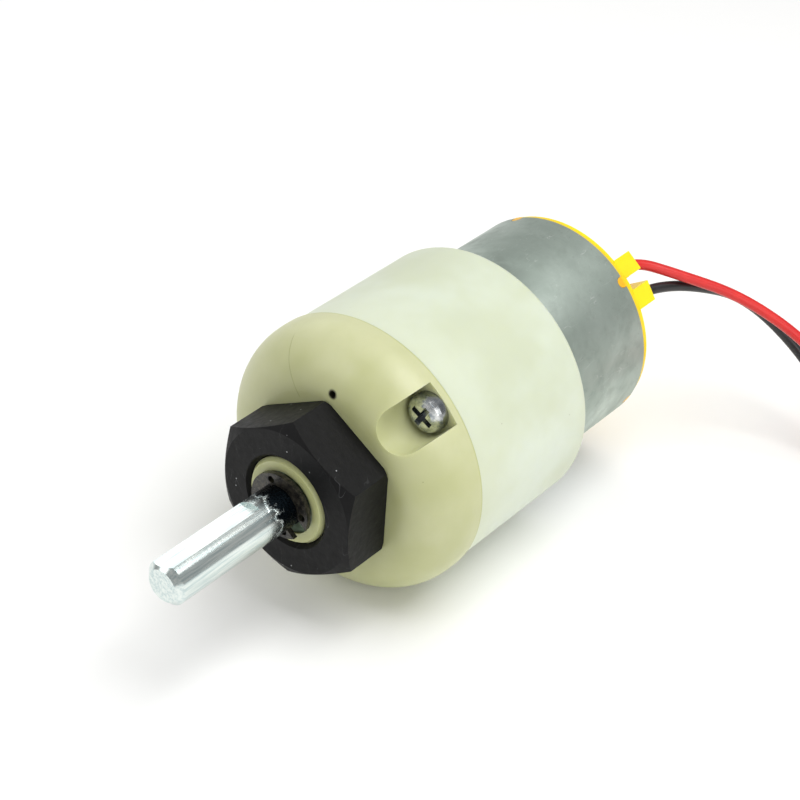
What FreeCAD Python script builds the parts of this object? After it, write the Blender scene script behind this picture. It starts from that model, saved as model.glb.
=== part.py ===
import FreeCAD, Part

import math
import os

import Sketcher
from FreeCAD import Placement, Rotation, Vector

# Geared DC motor. The shared axis of the motor and the output shaft is Y, the output shaft points along -Y,
# +Z is up, and the origin is on the axis at the front face of the gearbox, where the mounting nut seats.
# Angles about the axis are measured from +X towards +Z.

DIMENSIONS = (
    ("barrel_radius", 18.5, "gearbox barrel, outside"),
    ("cover_radius", 18.8, "gearbox cover, a little proud of the barrel"),
    ("cover_round", 7.0, "rounding of the cover's front edge"),
    ("seam_y", 8.5, "where the cover meets the barrel"),
    ("cavity_radius", 16.5, "inside of the gear chamber"),
    ("front_wall", 2.2, "thickness of the cover's front wall"),
    ("lip_radius", 17.2, "register lip of the barrel inside the cover"),
    ("lip_length", 1.4, "how far the lip enters the cover"),
    ("divider_y", 20.0, "front of the wall between gears and motor"),
    ("can_front_y", 22.6, "front face of the motor can"),
    ("barrel_rear_y", 31.7, "rear end of the barrel"),
    ("barrel_round", 1.2, "rounding of the barrel's rear edge"),
    ("nose_radius", 6.0, "crest of the nose thread, M12 x 1"),
    ("nose_length", 7.2, "threaded nose in front of the cover"),
    ("nose_bore", 4.4, "bore of the nose, filled by its bush"),
    ("thread_depth", 0.55, "depth of the nose thread"),
    ("thread_pitch", 1.0, "pitch of the nose thread"),
    ("nut_flats", 20.4, "mounting nut across its flats"),
    ("nut_thickness", 7.2, "mounting nut along the axis"),
    ("nut_face_radius", 10.1, "flat face inside the nut's chamfer"),
    ("nut_clearance", 0.08, "nut thread clear of the nose thread"),
    ("shaft_radius", 3.0, "output shaft"),
    ("shaft_tip_y", -28.6, "free end of the output shaft"),
    ("shaft_rear_y", 7.3, "inner end of the output shaft"),
    ("shaft_chamfer", 0.8, "chamfer of the free end"),
    ("flat_depth", 0.5, "how deep the D flat cuts the shaft"),
    ("flat_end_y", -13.0, "where the D flat runs out"),
    ("groove_radius", 2.4, "bottom of the retaining ring's groove"),
    ("ring_radius", 4.6, "retaining ring, outside"),
    ("ring_rear_y", -7.6, "rear face of the retaining ring"),
    ("ring_thickness", 0.7, "retaining ring"),
    ("running_gap", 0.04, "radial clearance of a running fit"),
    ("spindle_radius", 1.0, "fixed gear spindles"),
    ("pillar_radius", 1.6, "moulded pillars that space the gears"),
    ("pocket_radius", 3.05, "pocket of a cover screw, open outwards"),
    ("pocket_floor_y", 7.2, "seat of a cover screw's head"),
    ("pocket_wall", 1.2, "wall around a cover screw's pocket"),
    ("boss_radius", 2.0, "screw boss inside the barrel"),
    ("cover_screw_radius", 1.0, "shank of a cover screw"),
    ("cover_head_radius", 2.65, "pan head of a cover screw"),
    ("cover_head_height", 2.0, "pan head of a cover screw"),
    ("can_radius", 15.5, "motor can, outside"),
    ("can_wall", 0.8, "motor can"),
    ("can_rear_y", 49.2, "rear edge of the motor can"),
    ("motor_bush_radius", 3.0, "sintered bushes of the motor"),
    ("rim_radius", 15.2, "rim of the end cap"),
    ("rim_rear_y", 50.6, "rear face of the end cap"),
    ("key_width", 1.5, "keys of the end cap in the can's notches"),
    ("boss_rear_y", 52.6, "rear bearing boss of the end cap"),
    ("hood_height", 3.2, "terminal hoods behind the end cap"),
    ("motor_shaft_radius", 1.0, "motor shaft"),
    ("armature_radius", 9.8, "armature pole faces"),
    ("armature_length", 12.0, "armature lamination stack"),
    ("magnet_inner_radius", 10.3, "field magnets, inside"),
    ("commutator_radius", 2.6, "commutator"),
    ("gear_module", 0.4, "all gears"),
    ("pinion_teeth", 12, "motor pinion and cluster pinions"),
    ("wheel_teeth", 32, "cluster wheels and output gear"),
    ("lead_radius", 0.75, "insulated leads"),
    ("strand_radius", 0.4, "bare ends of the leads"),
)

# Where things sit about the axis, in degrees, and how far from it, in millimetres.
COVER_SCREW_ANGLES = (45.5, 225.5)
COVER_SCREW_PITCH_RADIUS = 16.0
SPINDLE_ANGLES = (75.5, 135.5, 195.5)
MOTOR_SCREW_ANGLES = (165.5, 345.5)
MOTOR_SCREW_PITCH_RADIUS = 8.0
NOTCH_ANGLES = tuple(44 + 72 * k for k in range(5))
POLE_ANGLES = (41, 161, 281)
MAGNET_ANGLES = (41, 221)
NUT_TURN = -2.6
FLAT_ANGLE = 102
RING_GAP_ANGLE = -40
POSITIVE_ANGLE = 50
NEGATIVE_ANGLE = 32

# Front ends of the four gear layers, from the motor to the output, and the gears' face widths.
LAYER_FRONTS = (16.1, 12.5, 8.9, 4.0)
WHEEL_WIDTH = 2.4
OUTPUT_WIDTH = 3.0

# The surface that the motor lies on, and the small round coil that the spare lead is wound into.
SURFACE_Z = -18.8
TIE_THICKNESS = 0.4
COIL_CENTRE = (38.0, 82.0)
COIL_TURN_RADII = (7.5, 9.0)
LAYER_GAP = 0.1
TIP_ANGLES = {"red": 65, "black": 30}
TIP_REACH = 5.6
TIP_LENGTH = 5.0
LEAD_ROUTES = {
    "red": (
        (8.7, 52.6, 10.4),
        (9.0, 55.2, 10.4),
        (13.4, 59.0, 8.5),
        (20.9, 65.8, 4.6),
        (30.5, 70.2, -1.8),
        (38.4, 69.8, -8.8),
        (44.2, 71.6, -14.2),
        (46.8, 76.0, -16.05),
        (47.0, 81.0, -16.05),
    ),
    "black": (
        (11.5, 52.6, 7.2),
        (12.0, 55.5, 7.3),
        (14.7, 61.8, 5.9),
        (18.6, 70.0, 2.0),
        (26.4, 73.4, -5.0),
        (35.0, 71.4, -11.2),
        (42.0, 70.8, -16.0),
        (46.4, 74.6, -17.65),
        (47.0, 79.6, -17.65),
    ),
}

doc = FreeCAD.newDocument("geared_dc_motor")


class Size:
    """A dimension that knows its number and the sheet formula that gives it."""

    def __init__(self, number, formula):
        self.number = number
        self.formula = formula

    def __add__(self, other):
        return combined(self, "+", other)

    def __radd__(self, other):
        return combined(as_size(other), "+", self)

    def __sub__(self, other):
        return combined(self, "-", other)

    def __rsub__(self, other):
        return combined(as_size(other), "-", self)

    def __mul__(self, other):
        return combined(self, "*", other)

    def __rmul__(self, other):
        return combined(self, "*", other)

    def __neg__(self):
        return Size(-self.number, f"-({self.formula})")


def as_size(value):
    """A plain number as a Size."""
    return value if isinstance(value, Size) else Size(float(value), repr(float(value)))


def combined(left, sign, right):
    """Two dimensions added, subtracted or multiplied, as number and as formula."""
    right = as_size(right)
    numbers = {
        "+": left.number + right.number,
        "-": left.number - right.number,
        "*": left.number * right.number,
    }
    return Size(numbers[sign], f"({left.formula} {sign} {right.formula})")


def fill_sheet():
    """Put the driving dimensions into the spreadsheet and return them by name."""
    sheet = doc.addObject("Spreadsheet::Sheet", "dims")
    sizes = {}
    for row, (name, value, meaning) in enumerate(DIMENSIONS, start=1):
        sheet.set(f"A{row}", name)
        sheet.set(f"B{row}", str(value))
        sheet.set(f"C{row}", meaning)
        sheet.setAlias(f"B{row}", name)
        sizes[name] = Size(value, f"dims.{name}")
    doc.recompute()
    return sizes


D = fill_sheet()
FORWARD = Rotation(Vector(1, 0, 0), 90)  # local z to the front, local x and y to world X and Z
kept = {}


def keep(label, item):
    """Make an object a sub-part: its Label is its node's name."""
    item.Label = label
    kept[label] = item
    return item


def around(angle, radius=0.0, side=0.0, y=0.0):
    """The point at an angle and radius from the axis, with a tangential offset."""
    turn = math.radians(angle)
    x = radius * math.cos(turn) - side * math.sin(turn)
    z = radius * math.sin(turn) + side * math.cos(turn)
    return Vector(x, y, z)


def facing(angle):
    """The rotation that puts local x outwards at an angle, and local z to the front."""
    return FORWARD.multiply(Rotation(Vector(0, 0, 1), angle))


def bind(item, **values):
    """Set an object's sizes, each from the sheet."""
    for name, value in values.items():
        item.setExpression(name, as_size(value).formula)


def rod(radius, front_y, rear_y, place=None, sector=None):
    """A cylinder along the axis between two stations, or a sector of it about its start angle."""
    item = doc.addObject("Part::Cylinder", "Rod")
    front_y, rear_y = as_size(front_y), as_size(rear_y)
    bind(item, Radius=radius, Height=rear_y - front_y)
    centre = place if place is not None else Vector()
    start = 0
    if sector:
        start, item.Angle = sector
    item.Placement = Placement(centre + Vector(0, rear_y.number, 0), facing(start))
    return item


def block(angle, inner, outer, width, front_y, rear_y, side=0.0):
    """A box from one radius to another at an angle, as wide as given, between two stations."""
    item = doc.addObject("Part::Box", "Block")
    inner, outer, width = as_size(inner), as_size(outer), as_size(width)
    front_y, rear_y = as_size(front_y), as_size(rear_y)
    bind(item, Length=outer - inner, Width=width, Height=rear_y - front_y)
    corner = around(angle, inner.number, side - width.number / 2, rear_y.number)
    item.Placement = Placement(corner, facing(angle))
    return item


def joined(*items):
    """The items fused into one."""
    fusion = doc.addObject("Part::MultiFuse", "Joined")
    fusion.Shapes = list(items)
    return fusion


def cut(base, *tools):
    """The base with the tools taken away, checked to have lost material."""
    result = doc.addObject("Part::Cut", "Cut")
    result.Base = base
    result.Tool = tools[0] if len(tools) == 1 else joined(*tools)
    doc.recompute()
    if result.Shape.Volume > base.Shape.Volume - 1e-3:
        raise RuntimeError(f"a cut of {base.Label} removes nothing")
    return result


def common(base, tool):
    """What two items share."""
    result = doc.addObject("Part::Common", "Common")
    result.Base = base
    result.Tool = tool
    return result


def plane_of(body, role):
    """One of a body's own origin planes."""
    return next(item for item in body.Origin.OriginFeatures if item.Role == role)


def pin_point(sketch, index, point, role=1):
    """Tie a vertex of a sketch to the sheet, measured from the origin."""
    for kind, value, axis in (("DistanceX", point[0], -2), ("DistanceY", point[1], -1)):
        value = as_size(value)
        if abs(value.number) < 1e-9:
            sketch.addConstraint(Sketcher.Constraint("PointOnObject", index, role, axis))
        else:
            rule = Sketcher.Constraint(kind, -1, 1, index, role, value.number)
            sketch.setExpression(f"Constraints[{sketch.addConstraint(rule)}]", value.formula)


def arc_between(start, end, radius, bulge):
    """An arc of a known radius from start to end, with its centre to the left or right of the way there."""
    middle = (start + end) * 0.5
    along = end - start
    reach = math.sqrt(max(radius**2 - (along.Length / 2) ** 2, 0))
    aside = Vector(-along.y, along.x, 0).normalize() * bulge
    centre = middle + aside * reach
    crest = centre + (middle - centre).normalize() * radius
    return Part.Arc(start, crest, end) if bulge > 0 else Part.Arc(end, crest, start)


def turned(profile):
    """A body turned about the axis from a closed outline of (radius, station) points.

    A third entry rounds the way to the next point: (size of the radius, 1 for a centre on the left, -1 on
    the right).
    """
    body = doc.addObject("PartDesign::Body", "Turned")
    sketch = body.newObject("Sketcher::SketchObject", "Outline")
    sketch.AttachmentSupport = (plane_of(body, "XY_Plane"), "")
    sketch.MapMode = "FlatFace"
    points = [Vector(as_size(entry[0]).number, as_size(entry[1]).number, 0) for entry in profile]
    for index, entry in enumerate(profile):
        start = points[index]
        end = points[(index + 1) % len(points)]
        if len(entry) == 3:
            radius, bulge = entry[2]
            sketch.addGeometry(arc_between(start, end, as_size(radius).number, bulge))
        else:
            sketch.addGeometry(Part.LineSegment(start, end))
    first_role = [1 if start_is_first(sketch, index, points[index]) else 2 for index in range(len(points))]
    for index in range(len(points)):
        following = (index + 1) % len(points)
        rule = Sketcher.Constraint(
            "Coincident", index, 3 - first_role[index], following, first_role[following]
        )
        sketch.addConstraint(rule)
    for index, entry in enumerate(profile):
        pin_point(sketch, index, entry, first_role[index])
        if len(entry) == 3:
            radius = as_size(entry[2][0])
            number = sketch.addConstraint(Sketcher.Constraint("Radius", index, radius.number))
            sketch.setExpression(f"Constraints[{number}]", radius.formula)
    revolution = body.newObject("PartDesign::Revolution", "Turn")
    revolution.Profile = sketch
    revolution.ReferenceAxis = (sketch, ["V_Axis"])
    revolution.Angle = 360
    body.Tip = revolution
    doc.recompute()
    return body


def start_is_first(sketch, index, point):
    """Is the first end of a sketch edge the one at this point?"""
    return sketch.Geometry[index].StartPoint.distanceToPoint(point) < 1e-6


def thread_outline(radius, depth, clear_front, clear_rear):
    """Outline points of a thread's ridges, from the rear to the front."""
    pitch = D["thread_pitch"]
    count = int((D["nose_length"].number - clear_front - clear_rear) / pitch.number)
    points = []
    for ridge in range(count):
        station = -clear_rear - ridge * pitch
        points.append((radius, station))
        points.append((radius + depth, station - pitch * 0.5))
    points.append((radius, -clear_rear - count * pitch))
    return points


def involute(angle):
    """The involute function of a pressure angle in radians."""
    return math.tan(angle) - angle


def gear(teeth, bore, front_y, rear_y, phase, centre):
    """A spur gear with involute flanks, one tooth's middle at the phase angle, and a round bore."""
    pressure = math.radians(20)
    addendum = 0.8
    dedendum = 1.1
    backlash = 0.06
    module = D["gear_module"].number
    pitch_radius = module * teeth / 2
    base = pitch_radius * math.cos(pressure)
    tip = pitch_radius + addendum * module
    root = pitch_radius - dedendum * module
    half_tooth = (math.pi * module / 2 - backlash) / 2 / pitch_radius + involute(pressure)
    low = max(base, root)

    def flank_angle(radius):
        return half_tooth - involute(math.acos(min(base / radius, 1.0)))

    def spot(radius, angle):
        turn = math.radians(phase) + angle
        return Vector(radius * math.cos(turn), rear_y, radius * math.sin(turn)) + centre

    flank = [low + (tip - low) * (step / 4) ** 1.5 for step in range(5)]
    edges = []
    for tooth in range(teeth):
        middle = 2 * math.pi * tooth / teeth
        following = middle + 2 * math.pi / teeth
        for side in (-1, 1):
            curve = Part.BSplineCurve()
            curve.interpolate([spot(r, middle + side * flank_angle(r)) for r in flank])
            edges.append(curve.toShape())
            if root < low - 1e-6:
                turn = middle + side * flank_angle(low)
                edges.append(Part.makeLine(spot(root, turn), spot(low, turn)))
        over = flank_angle(tip)
        edges.append(
            Part.Arc(spot(tip, middle - over), spot(tip, middle), spot(tip, middle + over)).toShape()
        )
        leave = middle + flank_angle(low)
        arrive = following - flank_angle(low)
        edges.append(
            Part.Arc(spot(root, leave), spot(root, (leave + arrive) / 2), spot(root, arrive)).toShape()
        )
    outline = Part.Face(Part.Wire(Part.sortEdges(edges)[0]))
    solid = outline.extrude(Vector(0, front_y - rear_y, 0))
    hole = Part.makeCylinder(bore, rear_y - front_y, Vector(0, front_y, 0) + centre, Vector(0, 1, 0))
    return solid.cut(hole)


def feature(label, shape):
    """A sub-part whose shape comes straight from Part's own functions."""
    item = doc.addObject("Part::Feature", "Shape")
    item.Shape = shape
    return keep(label, item)


def tube_path(points):
    """Straight runs joined by the largest tangent arcs that 0.45 of the shorter run allows."""
    points = [Vector(*point) for point in points]
    edges = []
    radii = []
    here = points[0]
    for before, corner, after in zip(points, points[1:], points[2:]):
        back = before - corner
        on = after - corner
        reach = 0.45 * min(back.Length, on.Length)
        turn = math.pi - back.getAngle(on)
        radius = reach / math.tan(turn / 2)
        back.normalize()
        on.normalize()
        start = corner + back * reach
        end = corner + on * reach
        bisector = (back + on).normalize()
        centre = corner + bisector * (radius / math.cos(turn / 2))
        edges.append(Part.LineSegment(here, start).toShape())
        edges.append(Part.Arc(start, centre - bisector * radius, end).toShape())
        radii.append(round(radius, 1))
        here = end
    edges.append(Part.LineSegment(here, points[-1]).toShape())
    return Part.Wire(edges), radii


def tube(label, points, radius):
    """A cord's tube along a path, with its volume compared with section times length."""
    path, radii = tube_path(points)
    first = path.Edges[0]
    heading = first.tangentAt(first.FirstParameter)
    ring = Part.Wire(Part.makeCircle(radius, Vector(*points[0]), heading))
    solid = path.makePipeShell([ring], True, False)
    expected = math.pi * radius**2 * path.Length
    print(label, "radii", radii, "length", round(path.Length, 2), "volume", round(solid.Volume / expected, 4))
    return feature(label, solid)


# ---------------------------------------------------------------- gearbox housing


def centre_distance():
    """Distance between the axes of a pinion and a wheel in mesh."""
    return D["gear_module"].number * (D["pinion_teeth"].number + D["wheel_teeth"].number) / 2


def spindle_centre(angle):
    """Where a gear spindle stands."""
    return around(angle, centre_distance())


def screw_rod(angle, radius, front_y, rear_y):
    """A cylinder on the axis of a cover screw."""
    return rod(radius, front_y, rear_y, around(angle, COVER_SCREW_PITCH_RADIUS))


def motor_screw_rod(angle, radius, front_y, rear_y):
    """A cylinder on the axis of a motor screw."""
    return rod(radius, front_y, rear_y, around(angle, MOTOR_SCREW_PITCH_RADIUS))


def gearbox_cover():
    """The rounded front cover: threaded nose, screw pockets and the pillars that space the gears."""
    root_radius = D["nose_radius"] - D["thread_depth"]
    inner_round = D["cover_round"] - 2.1
    lip_y = D["seam_y"] - D["lip_length"]
    shell = turned(
        [
            (D["nose_bore"], -D["nose_length"]),
            (D["nose_radius"] - 0.4, -D["nose_length"]),
            *reversed(thread_outline(D["nose_radius"], -D["thread_depth"], 0.5, 0.6)),
            (root_radius, -0.3),
            (root_radius, 0.0),
            (D["cover_radius"] - D["cover_round"], 0.0, (D["cover_round"], 1)),
            (D["cover_radius"], D["cover_round"]),
            (D["cover_radius"], D["seam_y"] - 0.2),
            (D["cover_radius"] - 0.2, D["seam_y"]),
            (D["lip_radius"] + 0.05, D["seam_y"]),
            (D["lip_radius"] + 0.05, lip_y),
            (D["cavity_radius"], lip_y, (inner_round, -1)),
            (D["cavity_radius"] - inner_round, D["front_wall"]),
            (D["nose_bore"], D["front_wall"]),
        ]
    )
    wall = D["pocket_radius"] + D["pocket_wall"]
    skin = D["cover_radius"] - D["lip_radius"]
    cups = joined(*(screw_rod(angle, wall, skin, D["seam_y"]) for angle in COVER_SCREW_ANGLES))
    inside = turned(
        [
            (0.0, skin),
            (D["cover_radius"] - D["cover_round"], skin, (D["cover_round"] - skin, 1)),
            (D["lip_radius"], D["cover_round"]),
            (D["lip_radius"], D["seam_y"]),
            (0.0, D["seam_y"]),
        ]
    )
    pillars = []
    holes = [rod(0.45, -1.0, 1.6, around(84, 13.0))]
    for angle, layer_front in zip(SPINDLE_ANGLES, LAYER_FRONTS[1:]):
        centre = spindle_centre(angle)
        pillars.append(rod(D["pillar_radius"], D["front_wall"] - 0.4, layer_front - 0.7, centre))
        holes.append(rod(D["spindle_radius"] + 0.01, 0.9, layer_front, centre))
    for angle in COVER_SCREW_ANGLES:
        holes.append(screw_rod(angle, D["pocket_radius"], -1.0, D["pocket_floor_y"]))
        holes.append(
            block(
                angle,
                COVER_SCREW_PITCH_RADIUS,
                D["cover_radius"] + 1.0,
                D["pocket_radius"] * 2.0,
                -1.0,
                D["pocket_floor_y"],
            )
        )
        holes.append(screw_rod(angle, D["cover_screw_radius"] + 0.15, 5.0, D["seam_y"] + 1.0))
    keep("gearbox_cover", cut(joined(shell, common(cups, inside), *pillars), *holes))


def gearbox_body():
    """The barrel: gear chamber in front, a dividing wall, and the socket that grips the motor can."""
    lip_y = D["seam_y"] - D["lip_length"]
    socket = D["can_radius"] + 0.02
    shell = turned(
        [
            (D["cavity_radius"], lip_y),
            (D["lip_radius"], lip_y),
            (D["lip_radius"], D["seam_y"]),
            (D["barrel_radius"] - 0.15, D["seam_y"]),
            (D["barrel_radius"], D["seam_y"] + 0.15),
            (D["barrel_radius"], D["barrel_rear_y"] - D["barrel_round"], (D["barrel_round"], 1)),
            (D["barrel_radius"] - D["barrel_round"], D["barrel_rear_y"]),
            (socket, D["barrel_rear_y"]),
            (socket, D["can_front_y"]),
            (3.9, D["can_front_y"]),
            (3.9, D["divider_y"]),
            (D["cavity_radius"], D["divider_y"]),
        ]
    )
    inside = rod(D["lip_radius"], D["seam_y"], D["divider_y"] + 0.5)
    bosses = [
        screw_rod(angle, D["boss_radius"], D["seam_y"], D["divider_y"] + 0.5) for angle in COVER_SCREW_ANGLES
    ]
    cup = D["pocket_radius"] + D["pocket_wall"] + 0.05
    posts = []
    holes = [screw_rod(angle, cup, lip_y - 1.0, D["seam_y"]) for angle in COVER_SCREW_ANGLES]
    for angle, layer_front in zip(SPINDLE_ANGLES, LAYER_FRONTS):
        centre = spindle_centre(angle)
        rear = layer_front + WHEEL_WIDTH + 0.35
        posts.append(rod(D["pillar_radius"], rear, D["divider_y"] + 0.4, centre))
        holes.append(rod(D["spindle_radius"] + 0.01, rear - 1.0, 22.2, centre))
    for angle in COVER_SCREW_ANGLES:
        holes.append(screw_rod(angle, D["cover_screw_radius"] + 0.02, D["seam_y"] - 1.0, 17.5))
    for angle in MOTOR_SCREW_ANGLES:
        holes.append(motor_screw_rod(angle, 1.35, D["divider_y"] - 1.0, D["can_front_y"] + 1.0))
    keep("gearbox_body", cut(joined(shell, common(joined(*bosses), inside), *posts), *holes))


def nose_bush():
    """The bush that carries the output shaft, flanged inside the cover."""
    bore = D["shaft_radius"] + D["running_gap"]
    bush = turned(
        [
            (bore, 0.3 - D["nose_length"]),
            (D["nose_bore"], 0.3 - D["nose_length"]),
            (D["nose_bore"], D["front_wall"]),
            (D["nose_bore"] + 0.9, D["front_wall"]),
            (D["nose_bore"] + 0.9, D["front_wall"] + 0.8),
            (bore, D["front_wall"] + 0.8),
        ]
    )
    keep("nose_bush", bush)


def gear_spindles():
    """Three hardened pins pressed into the cover and the dividing wall."""
    pins = joined(*(rod(D["spindle_radius"], 1.0, 22.1, spindle_centre(a)) for a in SPINDLE_ANGLES))
    keep("gear_spindles", pins)


def screw(place, head_radius, head_height, shank_radius, seat_y, end_y):
    """A cross-recessed pan-head screw as a solid, its head in front of the seat."""
    crown = head_height * 0.45
    outline = Part.makePolygon(
        [
            Vector(0, seat_y - head_height, 0),
            Vector(head_radius * 0.55, seat_y - head_height, 0),
            Vector(head_radius * 0.88, seat_y - head_height + crown * 0.45, 0),
            Vector(head_radius, seat_y - head_height + crown, 0),
            Vector(head_radius, seat_y, 0),
            Vector(shank_radius, seat_y, 0),
            Vector(shank_radius, end_y - shank_radius, 0),
            Vector(0, end_y, 0),
            Vector(0, seat_y - head_height, 0),
        ]
    )
    solid = Part.Face(outline).revolve(Vector(), Vector(0, 1, 0), 360)
    slot_length = head_radius * 1.2
    slot_width = head_radius * 0.3
    slot_depth = head_height * 0.6
    corner = Vector(-slot_length / 2, seat_y - head_height - 1, -slot_width / 2)
    slot = Part.makeBox(slot_length, slot_depth + 1, slot_width, corner)
    crossed = slot.copy()
    crossed.rotate(Vector(), Vector(0, 1, 0), 90)
    solid = solid.cut(slot.fuse(crossed))
    solid.rotate(Vector(), Vector(0, 1, 0), 30)
    solid.translate(place)
    return solid


def screws():
    """Two long screws hold the cover, and two short ones hold the motor to the dividing wall."""
    cover_set = [
        screw(
            around(angle, COVER_SCREW_PITCH_RADIUS),
            D["cover_head_radius"].number,
            D["cover_head_height"].number,
            D["cover_screw_radius"].number,
            D["pocket_floor_y"].number,
            17.3,
        )
        for angle in COVER_SCREW_ANGLES
    ]
    feature("cover_screws", Part.makeCompound(cover_set))
    motor_set = [
        screw(around(angle, MOTOR_SCREW_PITCH_RADIUS), 2.2, 1.2, 1.2, D["divider_y"].number, 24.2)
        for angle in MOTOR_SCREW_ANGLES
    ]
    feature("motor_screws", Part.makeCompound(motor_set))


def mounting_nut():
    """The hexagon nut on the nose, chamfered in front, its thread a little clear of the nose's."""
    corner = D["nut_flats"].number / 2 / math.cos(math.pi / 6)
    bore = D["nose_radius"] + D["nut_clearance"]
    rise = (corner - D["nut_face_radius"].number) * math.tan(math.radians(30))
    blank = turned(
        [
            (bore + 0.5, -D["nut_thickness"]),
            (D["nut_face_radius"], -D["nut_thickness"]),
            (corner, rise - D["nut_thickness"]),
            (corner, -0.3),
            (corner - 0.4, 0.0),
            (bore + 0.5, 0.0),
            *thread_outline(bore, D["thread_depth"], 0.5, 0.5),
        ]
    )
    hexagon = doc.addObject("Part::Prism", "Hexagon")
    hexagon.Polygon = 6
    bind(hexagon, Circumradius=D["nut_flats"] * (0.5 / math.cos(math.pi / 6)), Height=D["nut_thickness"])
    hexagon.Placement = Placement(Vector(), facing(NUT_TURN + 30))
    keep("mounting_nut", common(blank, hexagon))


# ---------------------------------------------------------------- gear train


def output_shaft():
    """The output shaft with its D flat, end chamfer and groove. Its wall is split where the flat ends."""
    groove_rear = D["ring_rear_y"] + 0.05
    groove_front = D["ring_rear_y"] - D["ring_thickness"] - 0.05
    bar = turned(
        [
            (0.0, D["shaft_tip_y"]),
            (D["shaft_radius"] - D["shaft_chamfer"], D["shaft_tip_y"]),
            (D["shaft_radius"], D["shaft_tip_y"] + D["shaft_chamfer"]),
            (D["shaft_radius"], D["flat_end_y"]),
            (D["shaft_radius"], groove_front),
            (D["groove_radius"], groove_front),
            (D["groove_radius"], groove_rear),
            (D["shaft_radius"], groove_rear),
            (D["shaft_radius"], D["shaft_rear_y"] - 0.4),
            (D["shaft_radius"] - 0.4, D["shaft_rear_y"]),
            (0.0, D["shaft_rear_y"]),
        ]
    )
    bar.Tip.Refine = False
    flat = block(
        FLAT_ANGLE,
        D["shaft_radius"] - D["flat_depth"],
        D["shaft_radius"] + 1.0,
        8.0,
        D["shaft_tip_y"] - 1.0,
        D["flat_end_y"],
    )
    shaft = cut(bar, flat)
    shaft.Refine = False
    keep("output_shaft", shaft)


def retaining_ring():
    """The open ring in the shaft's groove, which keeps the shaft from sliding inwards."""
    front = D["ring_rear_y"] - D["ring_thickness"]
    ring = rod(D["ring_radius"], front, D["ring_rear_y"])
    ears = [rod(0.5, front - 1, D["ring_rear_y"] + 1, around(angle, 3.7)) for angle in (110, 0, -80)]
    bore = rod(D["groove_radius"] + 0.02, front - 1, D["ring_rear_y"] + 1)
    gap = block(RING_GAP_ANGLE, 1.0, D["ring_radius"] + 1, 3.0, front - 1, D["ring_rear_y"] + 1)
    keep("retaining_ring", cut(ring, bore, gap, *ears))


def thrust_washer():
    """The washer between the output gear and the flange of the nose bush."""
    front = D["front_wall"] + 1.1
    disc = rod(D["nose_bore"] + 0.8, front, front + 0.6)
    keep("thrust_washer", cut(disc, rod(D["shaft_radius"], front - 1, front + 2)))


def gears():
    """Motor pinion, three wheel-and-pinion clusters and the output gear, all phased to be in mesh."""
    pinion_teeth = int(D["pinion_teeth"].number)
    wheel_teeth = int(D["wheel_teeth"].number)
    running = D["spindle_radius"].number + D["running_gap"].number
    hub_radius = 1.8
    half_pitch = 180 / wheel_teeth
    places = [around(0), *(spindle_centre(angle) for angle in SPINDLE_ANGLES), around(0)]
    pinion_fronts = [LAYER_FRONTS[0] - 0.4, *(front - 0.35 for front in LAYER_FRONTS[1:])]
    for index, letter in enumerate("abc"):
        driver = places[index]
        own = places[index + 1]
        away = own - driver
        facing_angle = math.degrees(math.atan2(away.z, away.x))
        front = LAYER_FRONTS[index]
        wheel = gear(wheel_teeth, hub_radius, front, front + WHEEL_WIDTH, facing_angle + 180 + half_pitch, own)
        web = Part.makeCylinder(4.6, 1, Vector(0, front - 0.3, 0) + own, Vector(0, 1, 0))
        web = web.cut(Part.makeCylinder(2.9, 3, Vector(0, front - 1, 0) + own, Vector(0, 1, 0)))
        feature(f"wheel_{letter}", wheel.cut(web))
        onward = places[index + 2] - own
        onward_angle = math.degrees(math.atan2(onward.z, onward.x))
        pinion = gear(pinion_teeth, running, pinion_fronts[index + 1], front, onward_angle, own)
        hub = Part.makeCylinder(hub_radius, WHEEL_WIDTH, Vector(0, front, 0) + own, Vector(0, 1, 0))
        hole = Part.makeCylinder(running, WHEEL_WIDTH + 2, Vector(0, front - 1, 0) + own, Vector(0, 1, 0))
        feature(f"pinion_{letter}", pinion.fuse(hub.cut(hole)).removeSplitter())
    first = math.degrees(math.atan2(places[1].z, places[1].x))
    shaft = D["motor_shaft_radius"].number
    feature("motor_pinion", gear(pinion_teeth, shaft, pinion_fronts[0], 19.4, first, places[0]))
    last = math.degrees(math.atan2(-places[3].z, -places[3].x))
    front = LAYER_FRONTS[3]
    output = gear(
        wheel_teeth, D["shaft_radius"].number, front, front + OUTPUT_WIDTH, last + 180 + half_pitch, places[4]
    )
    feature("output_gear", output)


# ---------------------------------------------------------------- motor


def key_shapes(radius, front_y, inner, outer):
    """The round-ended keys of the end cap, or the notches that take them, at the can's rear edge."""
    shapes = []
    middle = front_y + radius
    rear = D["can_rear_y"].number
    for angle in NOTCH_ANGLES:
        turn = Rotation(Vector(0, 1, 0), -angle)
        bar = Part.makeCylinder(radius, outer - inner, Vector(inner, middle, 0), Vector(1, 0, 0))
        box = Part.makeBox(outer - inner, rear + 0.3 - middle, 2 * radius, Vector(inner, middle, -radius))
        key = bar.fuse(box).removeSplitter()
        key.Placement = Placement(Vector(), turn)
        shapes.append(key)
    return shapes


def plain(shape):
    """A shape made with Part's functions, for use in a boolean."""
    item = doc.addObject("Part::Feature", "Tool")
    item.Shape = shape
    return item


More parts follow.
